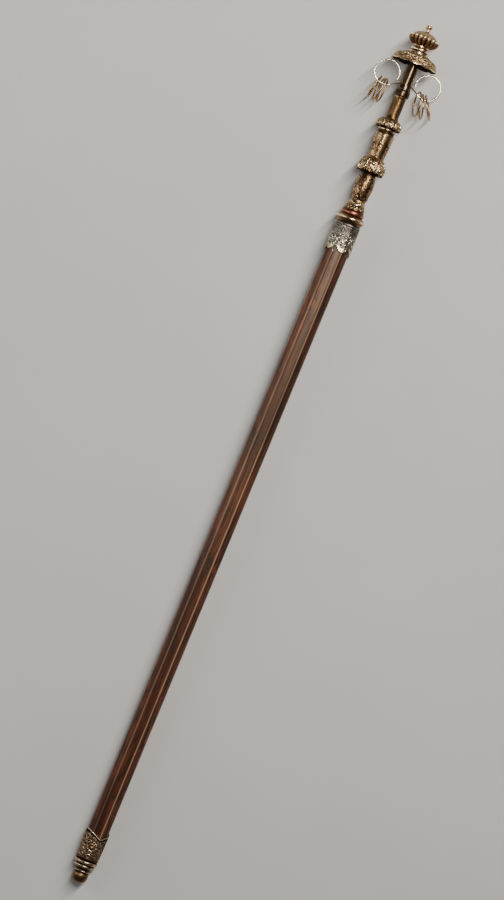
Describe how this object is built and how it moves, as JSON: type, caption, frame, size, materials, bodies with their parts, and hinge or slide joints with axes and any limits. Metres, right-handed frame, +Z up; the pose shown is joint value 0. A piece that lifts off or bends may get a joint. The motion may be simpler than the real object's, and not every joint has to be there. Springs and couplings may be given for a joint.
{
  "type": "ringed monk staff",
  "caption": "Ringed monk's staff lying down: eight-sided hardwood shaft, cast brass head with knops and canopy, and wire hoops that carry loose jingling rings.",
  "frame": {"origin": "middle of the small flat spot under the foot's widest ring, on the surface that the staff lies on", "axes": "+Y along the staff towards its head, +Z up from the surface that it lies on, +X across the hoops"},
  "size_m": [0.1161, 1.5, 0.0781],
  "materials": {
    "head_brass": "old cast brass, polished on the high places, brown patina in the recesses",
    "wire_brass": "pale brass wire, worn smooth",
    "copper": "red copper, satin",
    "engraved_sleeve": "grey engraved metal with gilt tongues, dull",
    "foot_bronze": "dark engraved bronze, worn bright on its edges",
    "rosewood": "dark red-brown hardwood, polished and oiled"
  },
  "bodies": {
    "root": {"foot_tip": "foot_bronze", "foot_ferrule": "foot_bronze", "shaft": "rosewood", "socket_sleeve": "engraved_sleeve", "flange_disc": "head_brass", "copper_ring": "copper", "column": "head_brass", "stem_collar": "head_brass", "canopy_stem": "head_brass", "canopy": "head_brass", "lotus_bud": "head_brass", "hoop_right": "wire_brass", "hoop_left": "wire_brass", "ring_right_1": "wire_brass", "ring_right_2": "wire_brass", "ring_right_3": "wire_brass", "ring_left_1": "wire_brass", "ring_left_2": "wire_brass", "ring_left_3": "wire_brass"}
  },
  "joints": []
}
